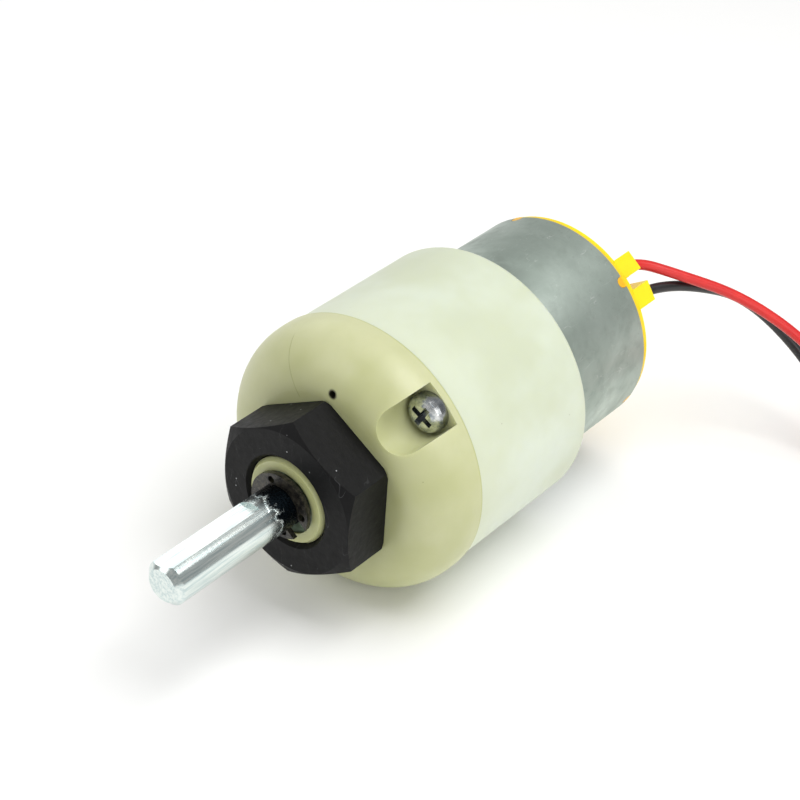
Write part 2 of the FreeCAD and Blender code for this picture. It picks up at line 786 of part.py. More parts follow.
def motor_can():
    """The drawn steel can with its front bearing hub and five notches in the rear edge."""
    hub = D["motor_bush_radius"] + D["can_wall"]
    inner = D["can_radius"] - D["can_wall"]
    front = D["can_front_y"]
    can = turned(
        [
            (D["motor_bush_radius"], front - 1.4),
            (hub, front - 1.4),
            (hub, front),
            (D["can_radius"] - 1.2, front, (1.2, 1)),
            (D["can_radius"], front + 1.2),
            (D["can_radius"], D["can_rear_y"]),
            (inner, D["can_rear_y"]),
            (inner, front + D["can_wall"]),
            (D["motor_bush_radius"], front + D["can_wall"]),
        ]
    )
    half = D["key_width"].number / 2 + 0.05
    notches = [plain(shape) for shape in key_shapes(half, D["can_rear_y"].number - 1.2, 14.0, 17.0)]
    holes = [motor_screw_rod(angle, 1.2, front - 1.0, front + 2.0) for angle in MOTOR_SCREW_ANGLES]
    keep("motor_can", cut(can, *notches, *holes))


def motor_bushes():
    """The sintered bushes at both ends of the motor shaft."""
    for label, front, rear in (("front_bush", 21.3, 24.4), ("rear_bush", 48.2, 51.2)):
        bush = turned(
            [
                (D["motor_shaft_radius"] + D["running_gap"], front),
                (D["motor_bush_radius"], front),
                (D["motor_bush_radius"], rear),
                (D["motor_shaft_radius"] + D["running_gap"], rear),
            ]
        )
        keep(label, bush)


def end_cap():
    """The moulded end cap: rim, spigot, keys, rear bearing boss and the two terminal hoods."""
    spigot = D["can_radius"] - D["can_wall"] - 0.02
    shell = turned(
        [
            (0.0, D["boss_rear_y"]),
            (0.0, 51.4),
            (D["motor_bush_radius"], 51.4),
            (D["motor_bush_radius"], 48.2),
            (D["motor_bush_radius"] + 1.2, 48.2),
            (D["motor_bush_radius"] + 1.2, 48.7),
            (13.6, 48.7),
            (13.6, 45.5),
            (spigot, 45.5),
            (spigot, D["can_rear_y"]),
            (D["rim_radius"], D["can_rear_y"]),
            (D["rim_radius"], D["rim_rear_y"] - 0.3),
            (D["rim_radius"] - 0.3, D["rim_rear_y"]),
            (4.6, D["rim_rear_y"]),
            (4.6, D["boss_rear_y"] - 0.4),
            (4.2, D["boss_rear_y"]),
        ]
    )
    half = D["key_width"].number / 2
    keys = [plain(shape) for shape in key_shapes(half, D["can_rear_y"].number - 1.1, 14.2, 15.45)]
    rear = D["rim_rear_y"] + D["hood_height"]
    hoods = []
    holes = []
    for angle, opening in ((POSITIVE_ANGLE, -0.7), (NEGATIVE_ANGLE, 0.05)):
        hoods.append(block(angle, 12.0, 15.2, 2.9, D["rim_rear_y"] - 0.5, rear))
        width = 2.0 + 2 * abs(opening)
        holes.append(block(angle, 12.5, 14.7, width, D["rim_rear_y"] + 0.4, rear + 1.0, opening))
        holes.append(block(angle, 12.65, 13.15, 1.7, 48.0, rear, 0.0))
    keep("end_cap", cut(joined(shell, *keys, *hoods), *holes))


def magnets():
    """Two ferrite arcs and the thin springs that hold them apart against the can."""
    outer = D["can_radius"] - D["can_wall"] - 0.02
    span = 130
    for label, angle in zip(("magnet_upper", "magnet_lower"), MAGNET_ANGLES):
        arc = rod(outer, 27.0, 43.0, sector=(angle - span / 2, span))
        keep(label, cut(arc, rod(D["magnet_inner_radius"], 26.0, 44.0)))
    gap = 44
    arcs = [rod(outer, 29.0, 41.0, sector=(angle + 90 - gap / 2, gap)) for angle in MAGNET_ANGLES]
    keep("magnet_springs", cut(joined(*arcs), rod(outer - 0.5, 28.0, 42.0)))


def armature():
    """Three-pole lamination stack, its coils, the commutator, the motor shaft and its end washers."""
    front = 29.0
    rear = front + D["armature_length"]
    shaft = D["motor_shaft_radius"]
    stems = []
    tips = []
    coils = []
    for angle in POLE_ANGLES:
        stems.append(block(angle, 0.0, 9.0, 3.2, front, rear))
        tips.append(rod(D["armature_radius"], front, rear, sector=(angle - 48, 96)))
        coils.append(block(angle, 3.9, 7.8, 6.0, front - 1.5, rear + 1.5))
    crowns = cut(joined(*tips), rod(8.4, front - 1, rear + 1))
    body = joined(rod(3.2, front, rear), *stems, crowns)
    keep("armature_core", cut(body, rod(shaft, front - 1, rear + 1)))
    slots = [block(angle, 0.0, 9.0, 3.3, front - 0.05, rear + 0.05) for angle in POLE_ANGLES]
    keep("armature_coils", cut(joined(*coils), *slots))
    drum = rod(D["commutator_radius"], 44.0, 47.3)
    gaps = [block(angle + 60, 1.9, 3.5, 0.3, 44.6, 48.0) for angle in POLE_ANGLES]
    keep("commutator", cut(drum, rod(shaft, 43.0, 48.0), *gaps))
    bar = turned(
        [
            (0.0, 15.4),
            (shaft - 0.2, 15.4),
            (shaft, 15.6),
            (shaft, 50.9),
            (shaft - 0.2, 51.1),
            (0.0, 51.1),
        ]
    )
    keep("motor_shaft", bar)
    rings = [rod(2.0, 24.8, 25.4), rod(2.0, 47.4, 47.9)]
    keep("shaft_washers", cut(joined(*rings), rod(shaft, 24.0, 49.0)))


def strip(points, thickness, front_y, rear_y):
    """A thin metal strip that follows points in a cross-section."""
    left = []
    right = []
    for index, point in enumerate(points):
        before = points[max(index - 1, 0)]
        after = points[min(index + 1, len(points) - 1)]
        along = (after - before).normalize()
        aside = Vector(-along.z, 0, along.x) * (thickness / 2)
        left.append(point + aside)
        right.append(point - aside)
    corners = [Vector(p.x, rear_y, p.z) for p in left + right[::-1]]
    return Part.Face(Part.makePolygon([*corners, corners[0]])).extrude(Vector(0, front_y - rear_y, 0))


def brushes_and_terminals():
    """Carbon brushes on leaf springs, the terminal tabs behind them, and the soldered lead ends."""
    middle = (POSITIVE_ANGLE + NEGATIVE_ANGLE) / 2
    beads = []
    for name, angle, way in (("positive", POSITIVE_ANGLE, 1), ("negative", NEGATIVE_ANGLE, -1)):
        brush_angle = middle + 90 * way
        back = D["commutator_radius"].number + 2.4
        keep(f"brush_{name}", block(brush_angle, D["commutator_radius"] + 0.08, back, 2.0, 45.0, 46.6))
        bend = around(angle + 40 * way, 12.3)
        pressed = around(brush_angle, back + 0.2, 0.6 * way)
        leaf = [around(angle, 12.45), around(angle + 20 * way, 12.7), bend, pressed]
        feature(f"brush_spring_{name}", strip(leaf, 0.3, 45.0, 47.0))
        tab = block(angle, 12.72, 13.12, 1.6, 45.4, 52.2)
        keep(f"terminal_{name}", tab)
        colour = "red" if way > 0 else "black"
        start = Vector(*LEAD_ROUTES[colour][0])
        heading = (Vector(*LEAD_ROUTES[colour][1]) - start).normalize()
        wire = Part.makeCylinder(D["strand_radius"].number, 1.5, start - heading * 1.5, heading)
        doc.recompute()
        strand = wire.cut(tab.Shape)
        feature(f"strands_{colour}", strand)
        beads.append(Part.makeSphere(0.52, around(angle, 13.32, 0.0, 51.6)).cut(tab.Shape))
    feature("solder_joints", Part.makeCompound(beads))


# ---------------------------------------------------------------- leads


def leads():
    """Two insulated leads: the free tube, the coil of spare length and the tinned end of each."""
    radius = D["lead_radius"].number
    inner = min(COIL_TURN_RADII) - radius
    outer = max(COIL_TURN_RADII) + radius
    centre = Vector(*COIL_CENTRE, 0)
    step = 2 * radius + LAYER_GAP
    for layer, colour in enumerate(("black", "red")):
        tube(f"lead_{colour}", LEAD_ROUTES[colour], radius)
        place = centre + Vector(0, 0, SURFACE_Z + TIE_THICKNESS + step * layer)
        ring = Part.makeCylinder(outer, 2 * radius, place).cut(Part.makeCylinder(inner, 2 * radius, place))
        feature(f"lead_{colour}_coil", ring)
        turn = math.radians(TIP_ANGLES[colour])
        outwards = Vector(math.cos(turn), math.sin(turn), 0)
        onwards = Vector(-math.sin(turn), math.cos(turn), 0)
        start = place + Vector(0, 0, radius) + outwards * TIP_REACH - onwards * (TIP_LENGTH / 2)
        tip = Part.makeCylinder(D["strand_radius"].number, TIP_LENGTH, start, onwards)
        feature(f"lead_{colour}_tip", tip)
    slack = 0.15
    width = outer - inner + 2 * slack
    height = step + 2 * radius
    corner = centre + Vector(-outer - slack, -1.0, SURFACE_Z + TIE_THICKNESS)
    bundle = Part.makeBox(width, 4.0, height, corner - Vector(0, 1.0, 0))
    wall = Vector(TIE_THICKNESS, 0, TIE_THICKNESS)
    band = Part.makeBox(width + 2 * wall.x, 2.0, height + 2 * wall.z, corner - wall)
    feature("coil_tie", band.cut(bundle))


def check_and_write():
    """Every object sound, every sub-part valid, then one file each."""
    doc.recompute()
    for item in doc.Objects:
        if "Invalid" in item.State or "Error" in item.State:
            raise RuntimeError(f"{item.Label} failed: {item.State}")
    os.makedirs("parts", exist_ok=True)
    for label, item in kept.items():
        shape = item.Shape
        if shape.isNull() or not shape.isValid() or not shape.Solids:
            raise RuntimeError(f"{label} has no valid solid")
        print(label, "solids", len(shape.Solids), "volume", round(shape.Volume, 2))
        shape.exportStep(f"parts/{label}.step")


gearbox_cover()
gearbox_body()
nose_bush()
gear_spindles()
screws()
mounting_nut()
output_shaft()
retaining_ring()
thrust_washer()
gears()
motor_can()
motor_bushes()
end_cap()
magnets()
armature()
brushes_and_terminals()
leads()
check_and_write()
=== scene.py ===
import math

import bpy
from mathutils import Matrix, Vector


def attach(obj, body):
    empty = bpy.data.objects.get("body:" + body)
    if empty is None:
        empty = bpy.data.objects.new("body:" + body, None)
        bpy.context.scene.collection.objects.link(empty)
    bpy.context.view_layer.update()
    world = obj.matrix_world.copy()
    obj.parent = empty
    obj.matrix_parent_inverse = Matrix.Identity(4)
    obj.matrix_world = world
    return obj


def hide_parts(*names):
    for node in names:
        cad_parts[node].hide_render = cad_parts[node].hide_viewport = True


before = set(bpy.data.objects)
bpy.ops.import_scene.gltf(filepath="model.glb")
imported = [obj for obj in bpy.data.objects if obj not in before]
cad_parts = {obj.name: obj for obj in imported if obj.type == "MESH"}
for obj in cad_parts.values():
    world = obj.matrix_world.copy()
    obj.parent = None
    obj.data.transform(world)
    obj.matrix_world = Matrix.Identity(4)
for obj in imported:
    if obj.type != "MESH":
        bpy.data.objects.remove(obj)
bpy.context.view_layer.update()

MM = 0.001
SCENE = bpy.context.scene


def mm(*values):
    """Millimetres of the row frame as a vector in metres."""
    return Vector(values) * MM


# ---------------------------------------------------------------- camera

AZIMUTH, ELEVATION, ROLL = (math.radians(a) for a in (38.3, 34.3, 1.6))
ORIGIN_SEEN_AT = mm(-9.64, -9.55, -255.57)
LENS = 91.5


def add_camera():
    """A camera at the viewing angle, placed so that it sees the frame's origin at ORIGIN_SEEN_AT."""
    level = math.cos(ELEVATION)
    back = Vector((math.sin(AZIMUTH) * level, -math.cos(AZIMUTH) * level, math.sin(ELEVATION)))
    right = Vector((0, 0, 1)).cross(back).normalized()
    up = back.cross(right)
    rolled_right = right * math.cos(ROLL) + up * math.sin(ROLL)
    rolled_up = up * math.cos(ROLL) - right * math.sin(ROLL)
    turn = Matrix((rolled_right, rolled_up, back)).transposed()
    data = bpy.data.cameras.new("camera")
    data.lens = LENS
    data.sensor_width = 36
    data.clip_start = 0.01
    data.clip_end = 20
    camera = bpy.data.objects.new("camera", data)
    camera.matrix_world = Matrix.Translation(-(turn @ ORIGIN_SEEN_AT)) @ turn.to_4x4()
    SCENE.collection.objects.link(camera)
    SCENE.camera = camera


add_camera()

# ---------------------------------------------------------------- leads

LEAD_RADIUS = 0.75
SURFACE_Z = -18.8
COIL_CENTRE = (38.0, 82.0)
TURN_RADII = (9.0, 7.5)
POINTS_PER_TURN = 16
TIP_LENGTH = 5.0
TIP_REACH = 5.6
LEADS = {
    "red": {
        "route": (
            (8.7, 52.6, 10.4),
            (9.0, 55.2, 10.4),
            (13.4, 59.0, 8.5),
            (20.9, 65.8, 4.6),
            (30.5, 70.2, -1.8),
            (38.4, 69.8, -8.8),
            (44.2, 71.6, -14.2),
            (46.8, 76.0, -16.05),
            (47.0, 81.0, -16.05),
        ),
        "tip_angle": 65,
        "length": 0.17,
    },
    "black": {
        "route": (
            (11.5, 52.6, 7.2),
            (12.0, 55.5, 7.3),
            (14.7, 61.8, 5.9),
            (18.6, 70.0, 2.0),
            (26.4, 73.4, -5.0),
            (35.0, 71.4, -11.2),
            (42.0, 70.8, -16.0),
            (46.4, 74.6, -17.65),
            (47.0, 79.6, -17.65),
        ),
        "tip_angle": 30,
        "length": 0.166,
    },
}


def tip_ends(colour):
    """Both ends of a lead's bare tip, which lies inside the coil, and the way that it points."""
    turn = math.radians(LEADS[colour]["tip_angle"])
    outwards = Vector((math.cos(turn), math.sin(turn), 0))
    onwards = Vector((-math.sin(turn), math.cos(turn), 0))
    middle = Vector((*COIL_CENTRE, LEADS[colour]["route"][-1][2])) + outwards * TIP_REACH
    return middle - onwards * TIP_LENGTH / 2, middle + onwards * TIP_LENGTH / 2, onwards


def coil_points(colour):
    """Two turns, the second inside the first, and the end that leaves the inner one."""
    height = LEADS[colour]["route"][-1][2]
    start, _, onwards = tip_ends(colour)
    before = start - onwards * 3.0
    last = math.degrees(math.atan2(before.y - COIL_CENTRE[1], before.x - COIL_CENTRE[0])) + 720 - 20
    step = 360 / POINTS_PER_TURN
    points = []
    angle = step * 0.6
    while angle < last:
        share = min(max((angle - 320) / 80, 0.0), 1.0)
        share = share * share * (3 - 2 * share)
        radius = TURN_RADII[0] + (TURN_RADII[1] - TURN_RADII[0]) * share
        radius /= math.cos(math.pi / POINTS_PER_TURN)
        turn = math.radians(angle)
        x = COIL_CENTRE[0] + radius * math.cos(turn)
        y = COIL_CENTRE[1] + radius * math.sin(turn)
        points.append(Vector((x, y, height)))
        angle += step
    return [*points, before, start]


def curve(name, lines, radius):
    """A curve object of one or more round lines through control points in millimetres."""
    data = bpy.data.curves.new(name, "CURVE")
    data.dimensions = "3D"
    data.bevel_depth = radius
    data.bevel_resolution = 5
    data.use_fill_caps = True
    data.resolution_u = 10
    for points in lines:
        spline = data.splines.new("NURBS")
        spline.points.add(len(points) - 1)
        for point, place in zip(spline.points, points):
            point.co = (*(Vector(place) * MM), 1.0)
            point.radius = MM
        spline.order_u = 3
        spline.use_endpoint_u = True
        spline.use_smooth = True
    made = bpy.data.objects.new(name, data)
    SCENE.collection.objects.link(made)
    return made


def strand_lines(start, end, spread, turns):
    """Control points of six fine wires twisted round a seventh, from start to end."""
    along = (end - start).normalized()
    side = along.orthogonal().normalized()
    other = along.cross(side)
    lines = [[start, (start + end) / 2, end]]
    steps = 9
    for wire in range(6):
        line = []
        for step in range(steps):
            share = step / (steps - 1)
            turn = math.tau * (wire / 6 + turns * share)
            away = side * math.cos(turn) + other * math.sin(turn)
            line.append(start + (end - start) * share + away * spread)
        lines.append(line)
    return lines


def add_leads():
    """The two insulated leads, each one line from its terminal to its bare end in the coil."""
    for colour, lead in LEADS.items():
        route = [Vector(point) for point in lead["route"]]
        piece = curve(f"{colour}_lead", [route + coil_points(colour)], LEAD_RADIUS)
        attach(piece, "housing")
        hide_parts(f"lead_{colour}", f"lead_{colour}_coil")
        start, end, onwards = tip_ends(colour)
        tip = curve(f"{colour}_tinned_end", strand_lines(start - onwards * 0.3, end, 0.25, 1.0), 0.14)
        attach(tip, "housing")
        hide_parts(f"lead_{colour}_tip")
        heading = (route[1] - route[0]).normalized()
        bare = strand_lines(route[0] - heading * 1.5, route[0] + heading * 0.4, 0.24, 0.35)
        wires = curve(f"{colour}_strands", bare, 0.13)
        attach(wires, "housing")
        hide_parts(f"strands_{colour}")


add_leads()

# ---------------------------------------------------------------- materials

SOCKETS = {
    "metallic": "Metallic",
    "roughness": "Roughness",
    "ior": "IOR",
    "glow": "Subsurface Weight",
    "glow_radius": "Subsurface Radius",
    "glow_scale": "Subsurface Scale",
    "anisotropic": "Anisotropic",
    "coat": "Coat Weight",
    "coat_roughness": "Coat Roughness",
    "specular": "Specular IOR Level",
}


def rgb(*channels):
    """Screen values from 0 to 255 as a linear colour."""
    linear = [((c / 255 + 0.055) / 1.055) ** 2.4 if c > 10 else c / 255 / 12.92 for c in channels]
    return (*linear, 1.0)


class Look:
    """A procedural material. Its textures work in millimetres of the row frame."""

    def __init__(self, name, **constants):
        self.material = bpy.data.materials.new(name)
        self.material.use_nodes = True
        self.nodes = self.material.node_tree.nodes
        self.links = self.material.node_tree.links
        self.shader = self.nodes["Principled BSDF"]
        for key, value in constants.items():
            self.shader.inputs[SOCKETS[key]].default_value = value
        self.place = self.stretched(1, 1, 1)
        parts = self.add("ShaderNodeSeparateXYZ", Vector=self.place)
        self.x, self.y, self.z = (parts.outputs[k] for k in "XYZ")
        self.normal = None

    def add(self, kind, settings=None, **inputs):
        node = self.nodes.new(kind)
        for key, value in (settings or {}).items():
            setattr(node, key, value)
        for key, value in inputs.items():
            self.put(node.inputs[key.replace("_", " ")], value)
        return node

    def put(self, socket, value):
        if isinstance(value, bpy.types.NodeSocket):
            self.links.new(value, socket)
        else:
            socket.default_value = value

    def stretched(self, x, y, z):
        """The place in millimetres, scaled by x, y and z."""
        coordinates = self.add("ShaderNodeTexCoord").outputs["Object"]
        mapping = self.add("ShaderNodeMapping", Vector=coordinates, Scale=(x / MM, y / MM, z / MM))
        return mapping.outputs["Vector"]

    def noise(self, per_mm, detail=3.0, rough=0.55, place=None, distortion=0.0):
        node = self.add(
            "ShaderNodeTexNoise",
            Vector=place or self.place,
            Scale=per_mm,
            Detail=detail,
            Roughness=rough,
            Distortion=distortion,
        )
        return node.outputs["Fac"]

    def cells(self, per_mm, place=None):
        return self.add("ShaderNodeTexVoronoi", Vector=place or self.place, Scale=per_mm).outputs["Distance"]

    def maths(self, operation, a, b=0.0):
        node = self.add("ShaderNodeMath", {"operation": operation})
        self.put(node.inputs[0], a)
        self.put(node.inputs[1], b)
        return node.outputs[0]

    def step(self, value, low, high):
        """A smooth step from 0 at low to 1 at high. low may be above high."""
        node = self.add("ShaderNodeMapRange", {"interpolation_type": "SMOOTHSTEP"})
        ends = (0.0, 1.0) if low <= high else (1.0, 0.0)
        for index, entry in enumerate((value, min(low, high), max(low, high), *ends)):
            self.put(node.inputs[index], entry)
        return node.outputs[0]

    def times(self, a, b):
        return self.maths("MULTIPLY", a, b)

    def plus(self, a, b):
        return self.maths("ADD", a, b)

    def mix(self, factor, a, b):
        node = self.add("ShaderNodeMix", {"data_type": "RGBA"})
        self.put(node.inputs[0], factor)
        self.put(node.inputs[6], a)
        self.put(node.inputs[7], b)
        return node.outputs[2]

    def radius(self, x=0.0, z=0.0):
        """The distance from a line along Y."""
        across = self.maths("SUBTRACT", self.x, x)
        above = self.maths("SUBTRACT", self.z, z)
        squares = self.plus(self.times(across, across), self.times(above, above))
        return self.maths("SQRT", squares)

    def colour(self, value):
        self.put(self.shader.inputs["Base Color"], value)

    def rough(self, value):
        self.put(self.shader.inputs["Roughness"], value)

    def bump(self, height, depth_mm, strength=1.0):
        node = self.add("ShaderNodeBump", Height=height, Distance=depth_mm * MM, Strength=strength)
        if self.normal is not None:
            self.put(node.inputs["Normal"], self.normal)
        self.normal = node.outputs["Normal"]
        self.put(self.shader.inputs["Normal"], self.normal)

    def scratches(self, per_mm, place, width):
        """Thin broken lines where a stretched noise passes its middle value."""
        wave = self.noise(per_mm, 1.0, 0.5, place)
        line = self.step(self.maths("ABSOLUTE", self.maths("SUBTRACT", wave, 0.5)), width, 0.0)
        return self.times(line, self.step(self.noise(0.35, 2.0), 0.5, 0.62))


def plastic(name, pale, deep):
    """Milky moulded nylon: slow colour variation, light that bleeds through, faint flow marks."""
    look = Look(name, ior=1.5, glow=0.42, glow_radius=(1.0, 0.95, 0.55), glow_scale=0.0016)
    cloud = look.step(look.noise(0.07, 3.0, 0.5), 0.35, 0.68)
    fine = look.noise(0.9, 4.0, 0.6)
    tone = look.mix(cloud, pale, deep)
    tone = look.mix(look.times(look.step(fine, 0.4, 0.75), 0.12), tone, deep)
    specks = look.step(look.cells(0.28), 0.035, 0.015)
    tone = look.mix(look.times(specks, 0.45), tone, rgb(110, 112, 70))
    look.rough(look.plus(look.times(look.noise(0.35, 4.0, 0.6), 0.22), 0.27))
    look.bump(look.noise(0.16, 2.0, 0.5), 0.05, 0.6)
    look.bump(look.noise(4.5, 3.0, 0.6), 0.006, 0.5)
    return look, tone


def line_mask(look, start, end, width):
    """1 near a thin, slightly wavy line between two points of the XZ plane, seen along Y, and 0 off it."""
    (x0, z0), (x1, z1) = start, end
    run = math.hypot(x1 - x0, z1 - z0)
    ux, uz = (x1 - x0) / run, (z1 - z0) / run
    dx = look.maths("SUBTRACT", look.x, x0)
    dz = look.maths("SUBTRACT", look.z, z0)
    along = look.plus(look.times(dx, ux), look.times(dz, uz))
    across = look.maths("SUBTRACT", look.times(dx, uz), look.times(dz, ux))
    wobble = look.times(look.maths("SUBTRACT", look.noise(0.3, 2.0), 0.5), 0.35)
    near = look.step(look.maths("ABSOLUTE", look.plus(across, wobble)), width, width * 0.3)
    inside = look.times(look.step(along, -0.3, 0.3), look.step(along, run + 0.3, run - 0.3))
    return look.times(near, inside)


VENT_ANGLE = 84
VENT_RADIUS = 13.0


def cover_look():
    look, tone = plastic("cover_nylon", rgb(198, 200, 158), rgb(182, 185, 134))
    front = look.step(look.y, 5.0, 0.5)
    # Painted shade: the front face is darkened towards the nut.
    shade_around_nut = look.times(look.step(look.radius(), 18.0, 10.0), front)
    tone = look.mix(look.times(shade_around_nut, 0.4), tone, rgb(172, 175, 118))
    flow = look.times(line_mask(look, (-9.1, 17.6), (-3.9, 10.3), 0.12), look.step(look.y, 4.0, 3.0))
    tone = look.mix(look.times(flow, 0.45), tone, rgb(140, 142, 84))
    seam = look.step(look.y, 8.0, 8.5)
    tone = look.mix(look.times(seam, 0.7), tone, rgb(146, 152, 62))
    # Painted shade: a near-black disc on the front face stands in for the shaded inside of the vent hole.
    vent = math.radians(VENT_ANGLE)
    vent_hole_shade = look.step(look.radius(VENT_RADIUS * math.cos(vent), VENT_RADIUS * math.sin(vent)), 0.8, 0.45)
    tone = look.mix(look.times(vent_hole_shade, front), tone, rgb(34, 32, 20))
    look.colour(tone)
    look.bump(flow, 0.03, 0.5)
    return look.material


def barrel_look():
    look, tone = plastic("barrel_nylon", rgb(212, 220, 203), rgb(201, 208, 182))
    front = look.step(look.y, 20.0, 8.0)
    tone = look.mix(look.times(front, 0.35), tone, rgb(202, 207, 172))
    look.colour(tone)
    return look.material


def nut_look():
    look = Look("black_nut", specular=0.2)
    dust = look.step(look.noise(2.2, 5.0, 0.7), 0.56, 0.74)
    tone = look.mix(look.times(dust, 0.25), rgb(5, 5, 6), rgb(30, 31, 33))
    scratch = look.plus(
        look.scratches(0.5, look.stretched(1.0, 0.6, 0.35), 0.004),
        line_mask(look, (1.3, 13.3), (9.6, 7.7), 0.12),
    )
    front = look.step(look.y, -6.2, -6.8)
    scratch = look.times(scratch, look.plus(look.times(front, 0.8), 0.2))
    tone = look.mix(look.times(scratch, 0.4), tone, rgb(120, 122, 124))
    specks = look.times(look.step(look.cells(0.8), 0.09, 0.05), look.step(look.noise(0.35, 1.0), 0.52, 0.56))
    tone = look.mix(look.times(specks, 0.8), tone, rgb(196, 198, 200))
    look.colour(tone)
    look.rough(look.plus(look.times(look.noise(1.1, 4.0, 0.6), 0.3), 0.36))
    look.bump(look.noise(0.8, 4.0, 0.6), 0.09, 0.7)
    look.bump(look.noise(6.0, 3.0, 0.6), 0.012, 0.6)
    return look.material


def shaft_look():
    """Ground steel with dark grease and swarf where it leaves the nose."""
    look = Look("shaft_steel", metallic=1.0)
    rings = look.noise(5.0, 3.0, 0.6, look.stretched(0.05, 1.0, 0.05))
    lengthwise = look.noise(3.0, 3.0, 0.6, look.stretched(1.0, 0.05, 1.0))
    tone = look.mix(look.step(lengthwise, 0.35, 0.7), rgb(226, 233, 229), rgb(188, 204, 204))
    smear = look.noise(0.9, 5.0, 0.65, look.stretched(1.0, 0.7, 1.0), 0.6)
    edge = look.plus(look.y, look.times(smear, 5.0))
    grease = look.step(edge, -9.2, -8.2)
    spots = look.step(look.cells(2.6), 0.24, 0.14)
    spots = look.times(spots, look.step(edge, -11.4, -9.0))
    dirt = look.maths("MAXIMUM", grease, spots)
    tone = look.mix(dirt, tone, rgb(14, 20, 24))
    look.colour(tone)
    glint = look.times(look.step(look.noise(3.4, 4.0, 0.7), 0.5, 0.6), 0.35)
    dull = look.plus(look.times(rings, 0.12), 0.13)
    look.rough(look.plus(look.times(dirt, glint), dull))
    look.bump(rings, 0.006, 0.5)
    look.bump(look.times(dirt, look.noise(3.0, 4.0, 0.7)), 0.16, 0.8)
    return look.material


def ring_look():
    look = Look("greased_ring", metallic=0.6, coat=0.35, coat_roughness=0.18)
    smear = look.noise(1.6, 5.0, 0.7, None, 0.4)
    tone = look.mix(look.step(smear, 0.35, 0.7), rgb(18, 18, 19), rgb(72, 68, 58))
    look.colour(look.mix(look.step(look.noise(5.0, 3.0), 0.6, 0.7), tone, rgb(96, 92, 82)))
    look.rough(look.plus(look.times(smear, 0.4), 0.18))
    look.bump(smear, 0.12, 0.7)
    return look.material


def bush_look():
    look = Look("greasy_bronze", metallic=0.35, coat=0.3, coat_roughness=0.25)
    cloud = look.noise(0.8, 5.0, 0.65, None, 0.3)
    tone = look.mix(look.step(cloud, 0.35, 0.65), rgb(112, 134, 112), rgb(74, 84, 62))
    look.colour(look.mix(look.step(look.noise(2.6, 4.0), 0.58, 0.72), tone, rgb(28, 30, 24)))
    look.rough(look.plus(look.times(cloud, 0.4), 0.3))
    look.bump(cloud, 0.05, 0.6)
    return look.material


def can_look():
    """Drawn and dull-plated steel: blotches, faint draw lines and scuffs."""
    look = Look("motor_can_steel", metallic=0.85, anisotropic=0.3)
    blotch = look.step(look.noise(0.09, 4.0, 0.55, None, 0.4), 0.3, 0.72)
    cloud = look.noise(0.4, 5.0, 0.6, None, 0.3)
    tone = look.mix(blotch, rgb(188, 200, 191), rgb(160, 172, 163))
    tone = look.mix(look.times(look.step(cloud, 0.45, 0.75), 0.4), tone, rgb(136, 145, 137))
    stain = look.times(look.step(look.noise(1.4, 4.0, 0.7), 0.6, 0.72), look.step(look.y, 36.0, 49.0))
    tone = look.mix(look.times(stain, 0.3), tone, rgb(100, 106, 98))
    drawn = look.noise(2.6, 2.0, 0.6, look.stretched(1.0, 0.04, 1.0))
    scuffs = look.scratches(1.2, look.stretched(1.0, 0.15, 0.6), 0.006)
    tone = look.mix(look.times(scuffs, 0.5), tone, rgb(226, 230, 226))
    look.colour(tone)
    look.rough(look.plus(look.times(cloud, 0.25), look.plus(look.times(blotch, 0.1), 0.28)))
    look.bump(drawn, 0.012, 0.5)
    look.bump(look.noise(0.22, 2.0), 0.06, 0.5)
    look.bump(look.noise(7.0, 3.0, 0.6), 0.006, 0.5)
    return look.material


def cap_look():
    look = Look(
        "yellow_cap",
        ior=1.5,
        glow=0.15,
        glow_radius=(1.0, 0.6, 0.1),
        glow_scale=0.001,
        coat=0.15,
        coat_roughness=0.2,
    )
    cloud = look.step(look.noise(0.25, 3.0), 0.35, 0.7)
    behind = look.step(look.y, 49.1, 50.4)
    tone = look.mix(behind, rgb(240, 196, 14), rgb(252, 226, 6))
    tone = look.mix(look.times(cloud, 0.35), tone, rgb(238, 190, 10))
    key = look.step(look.y, 49.25, 49.05)
    tone = look.mix(look.times(key, 0.8), tone, rgb(240, 172, 22))
    look.colour(tone)
    look.rough(look.plus(look.times(look.noise(0.9, 4.0), 0.25), 0.25))
    look.bump(look.noise(0.4, 3.0), 0.04, 0.6)
    look.bump(look.noise(5.0, 3.0), 0.008, 0.5)
    return look.material


def screw_look():
    look = Look("plated_screw", metallic=1.0)
    cloud = look.noise(1.3, 5.0, 0.65)
    tone = look.mix(look.step(cloud, 0.4, 0.7), rgb(226, 228, 226), rgb(150, 158, 164))
    # Painted shade: the screw is darkened towards dark blue deeper than y = 6 mm, down in its pocket.
    deep = look.step(look.y, 5.5, 6.0)
    look.colour(look.mix(look.times(deep, 0.6), tone, rgb(36, 46, 58)))
    look.rough(look.plus(look.times(cloud, 0.25), 0.12))
    look.bump(look.noise(3.0, 4.0), 0.03, 0.6)
    return look.material


def pvc_look(name, base, light, dusty):
    look = Look(name, ior=1.52, coat=0.25, coat_roughness=0.3)
    cloud = look.noise(0.35, 4.0, 0.6)
    dust = look.step(look.noise(3.0, 5.0, 0.7), 0.55, 0.75)
    tone = look.mix(look.times(look.step(cloud, 0.4, 0.7), 0.5), base, light)
    look.colour(look.mix(look.times(dust, dusty), tone, rgb(150, 140, 136)))
    look.rough(look.plus(look.times(cloud, 0.25), 0.28))
    look.bump(look.noise(2.4, 4.0, 0.6), 0.02, 0.6)
    return look.material


